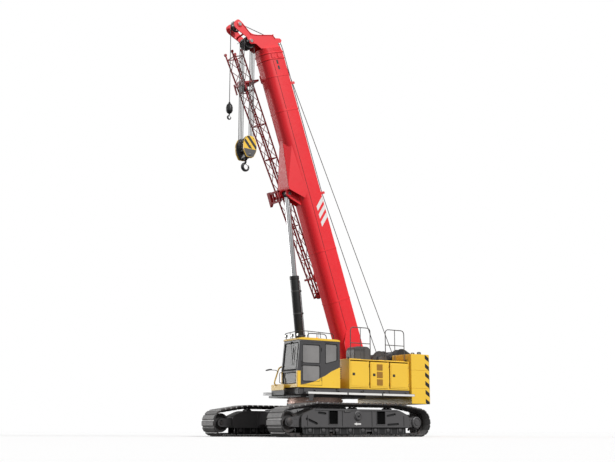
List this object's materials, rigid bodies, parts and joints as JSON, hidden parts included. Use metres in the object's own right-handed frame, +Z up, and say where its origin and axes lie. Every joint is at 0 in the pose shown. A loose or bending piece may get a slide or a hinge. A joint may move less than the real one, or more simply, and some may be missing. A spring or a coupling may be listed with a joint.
{
  "type": "telescopic-boom crawler crane",
  "caption": "Crawler crane with a luffing telescopic boom, side-stowed lattice jib, hook block and auxiliary hook, slewing on wide tracks.",
  "frame": {"origin": "on the ground under the middle of the crane's overall length, on its centre plane; the slewing axis stands 155 mm ahead of it", "axes": "+X to the front, where the boom points; +Y to the left, the cab's side; +Z up"},
  "size_m": [7.9468, 5.154, 14.7213],
  "materials": {
    "yellow_paint": "gloss",
    "red_paint": "gloss",
    "grey_paint": "satin",
    "dark_paint": "satin",
    "track_steel": "rough",
    "ring_steel": "machined with surface rust",
    "chrome": "polished",
    "rope_steel": "wire",
    "seat_fabric": "woven",
    "tinted_glass": "tinted"
  },
  "bodies": {
    "undercarriage": {"carbody": "grey_paint", "slew_ring": "ring_steel"},
    "track_unit_left": {"track_frame_left": "grey_paint", "track_left": "track_steel"},
    "track_unit_right": {"track_frame_right": "grey_paint", "track_right": "track_steel"},
    "drive_sprocket_left": {"drive_sprocket_left": "grey_paint"},
    "drive_sprocket_right": {"drive_sprocket_right": "grey_paint"},
    "front_idler_left": {"front_idler_left": "grey_paint"},
    "front_idler_right": {"front_idler_right": "grey_paint"},
    "superstructure": {"slew_platform": "grey_paint", "catwalk_left": "grey_paint", "catwalk_right": "grey_paint", "cab_shell": "yellow_paint", "cab_roof": "yellow_paint", "windscreen": "tinted_glass", "foot_window": "tinted_glass", "rear_window": "tinted_glass", "right_window": "tinted_glass", "quarter_window": "tinted_glass", "seat_pedestal": "dark_paint", "seat_cushion": "seat_fabric", "seat_backrest": "seat_fabric", "left_housing": "yellow_paint", "right_housing": "yellow_paint", "engine_block": "dark_paint", "air_cleaner_box": "grey_paint", "guard_rail_left": "grey_paint", "guard_rail_right": "grey_paint", "fuel_tank": "yellow_paint", "counterweight_lower": "yellow_paint", "counterweight_middle": "yellow_paint", "counterweight_upper": "yellow_paint"},
    "cab_door": {"cab_door": "yellow_paint", "door_window_upper": "tinted_glass", "door_window_lower": "tinted_glass"},
    "left_housing_door_1": {"left_housing_door_1": "yellow_paint"},
    "left_housing_door_2": {"left_housing_door_2": "yellow_paint"},
    "left_housing_door_3": {"left_housing_door_3": "yellow_paint"},
    "right_housing_door_1": {"right_housing_door_1": "yellow_paint"},
    "right_housing_door_2": {"right_housing_door_2": "yellow_paint"},
    "main_winch": {"main_winch_drum": "dark_paint"},
    "aux_winch": {"aux_winch_drum": "dark_paint"},
    "boom_base": {"boom_base_section": "red_paint", "jib": "red_paint"},
    "boom_section_2": {"boom_section_2": "red_paint"},
    "boom_section_3": {"boom_section_3": "red_paint"},
    "boom_section_4": {"boom_section_4": "red_paint"},
    "boom_section_5": {"boom_section_5": "red_paint", "boom_head": "red_paint", "head_sheaves": "grey_paint", "aux_sheave": "grey_paint"},
    "lift_barrel": {"lift_cylinder_barrel": "dark_paint"},
    "lift_rod": {"lift_cylinder_rod": "chrome"},
    "main_falls": {"main_falls": "rope_steel"},
    "main_block": {"main_hook_block": "yellow_paint", "main_hook": "dark_paint"},
    "aux_fall": {"aux_fall": "rope_steel"},
    "aux_hook": {"aux_hook": "dark_paint"}
  },
  "joints": [
    {"name": "left_track_width", "type": "slide", "parent": "undercarriage", "child": "track_unit_left", "axis": [0, 1, 0], "range_m": [-0.45, 0]},
    {"name": "right_track_width", "type": "slide", "parent": "undercarriage", "child": "track_unit_right", "axis": [0, -1, 0], "range_m": [-0.45, 0]},
    {"name": "slew", "type": "hinge", "parent": "undercarriage", "child": "superstructure", "pos_m": [0.155, 0, 1.33], "axis": [0, 0, 1], "continuous": true},
    {"name": "drive_sprocket_left_spin", "type": "hinge", "parent": "track_unit_left", "child": "drive_sprocket_left", "pos_m": [-2.5, 2.144, 0.48], "axis": [0, 1, 0], "continuous": true},
    {"name": "front_idler_left_spin", "type": "hinge", "parent": "track_unit_left", "child": "front_idler_left", "pos_m": [2.81, 2.144, 0.48], "axis": [0, 1, 0], "continuous": true},
    {"name": "drive_sprocket_right_spin", "type": "hinge", "parent": "track_unit_right", "child": "drive_sprocket_right", "pos_m": [-2.5, -2.144, 0.48], "axis": [0, 1, 0], "continuous": true},
    {"name": "front_idler_right_spin", "type": "hinge", "parent": "track_unit_right", "child": "front_idler_right", "pos_m": [2.81, -2.144, 0.48], "axis": [0, 1, 0], "continuous": true},
    {"name": "cab_door_swing", "type": "hinge", "parent": "superstructure", "child": "cab_door", "pos_m": [0.955, 1.545, 2.4], "axis": [0, 0, 1], "range_deg": [0, 95]},
    {"name": "left_housing_door_1_swing", "type": "hinge", "parent": "superstructure", "child": "left_housing_door_1", "pos_m": [-1.12517, 1.503, 2.1], "axis": [0, 0, 1], "range_deg": [0, 85]},
    {"name": "left_housing_door_2_swing", "type": "hinge", "parent": "superstructure", "child": "left_housing_door_2", "pos_m": [-2.03183, 1.503, 2.1], "axis": [0, 0, 1], "range_deg": [0, 85]},
    {"name": "left_housing_door_3_swing", "type": "hinge", "parent": "superstructure", "child": "left_housing_door_3", "pos_m": [-2.9385, 1.503, 2.1], "axis": [0, 0, 1], "range_deg": [0, 85]},
    {"name": "right_housing_door_1_swing", "type": "hinge", "parent": "superstructure", "child": "right_housing_door_1", "pos_m": [-1.5785, -1.503, 2.1], "axis": [0, 0, -1], "range_deg": [0, 85]},
    {"name": "right_housing_door_2_swing", "type": "hinge", "parent": "superstructure", "child": "right_housing_door_2", "pos_m": [-2.9385, -1.503, 2.1], "axis": [0, 0, -1], "range_deg": [0, 85]},
    {"name": "main_winch_turn", "type": "hinge", "parent": "superstructure", "child": "main_winch", "pos_m": [-2.495, 0, 2.75], "axis": [0, 1, 0], "continuous": true},
    {"name": "aux_winch_turn", "type": "hinge", "parent": "superstructure", "child": "aux_winch", "pos_m": [-3.345, 0, 2.86], "axis": [0, 1, 0], "continuous": true},
    {"name": "boom_luff", "type": "hinge", "parent": "superstructure", "child": "boom_base", "pos_m": [-1.485, 0, 2.55], "axis": [0, -1, 0], "range_deg": [-71.3, 8.7]},
    {"name": "lift_barrel_pivot", "type": "hinge", "parent": "superstructure", "child": "lift_barrel", "pos_m": [0.625, 0, 1.8], "axis": [0, -1, 0], "range_deg": [-81.4, 10]},
    {"name": "lift_rod_slide", "type": "slide", "parent": "lift_barrel", "child": "lift_rod", "axis": [0.1126, 0, 0.9936], "range_m": [-2.35, 0.29]},
    {"name": "boom_telescope", "type": "slide", "parent": "boom_base", "child": "boom_section_2", "axis": [0.3206, 0, 0.9472], "range_m": [0, 8.7]},
    {"name": "boom_section_3_slide", "type": "slide", "parent": "boom_section_2", "child": "boom_section_3", "axis": [0.3206, 0, 0.9472], "range_m": [0, 8.7]},
    {"name": "boom_section_4_slide", "type": "slide", "parent": "boom_section_3", "child": "boom_section_4", "axis": [0.3206, 0, 0.9472], "range_m": [0, 8.7]},
    {"name": "boom_section_5_slide", "type": "slide", "parent": "boom_section_4", "child": "boom_section_5", "axis": [0.3206, 0, 0.9472], "range_m": [0, 8.7]},
    {"name": "main_falls_swing", "type": "hinge", "parent": "boom_section_5", "child": "main_falls", "pos_m": [3.1549, 0, 13.99982], "axis": [0, -1, 0], "range_deg": [-8.8, 71.4]},
    {"name": "aux_fall_swing", "type": "hinge", "parent": "boom_section_5", "child": "aux_fall", "pos_m": [3.65379, 0, 14.51929], "axis": [0, -1, 0], "range_deg": [-8.8, 71.4]},
    {"name": "main_hoist", "type": "slide", "parent": "main_falls", "child": "main_block", "axis": [0, 0, -1], "range_m": [-3.2, 0], "deforming": ["main_falls"]},
    {"name": "aux_hoist", "type": "slide", "parent": "aux_fall", "child": "aux_hook", "axis": [0, 0, -1], "range_m": [-2.3, 0], "deforming": ["aux_fall"]}
  ],
  "couplings": [
    {"joint": "lift_barrel_pivot", "follows": "boom_luff", "ratio": 1.14},
    {"joint": "lift_rod_slide", "follows": "boom_luff", "m_per_rad": 1.88},
    {"joint": "boom_section_3_slide", "follows": "boom_telescope", "ratio": 1},
    {"joint": "boom_section_4_slide", "follows": "boom_telescope", "ratio": 1},
    {"joint": "boom_section_5_slide", "follows": "boom_telescope", "ratio": 1},
    {"joint": "main_falls_swing", "follows": "boom_luff", "ratio": -1},
    {"joint": "aux_fall_swing", "follows": "boom_luff", "ratio": -1}
  ]
}
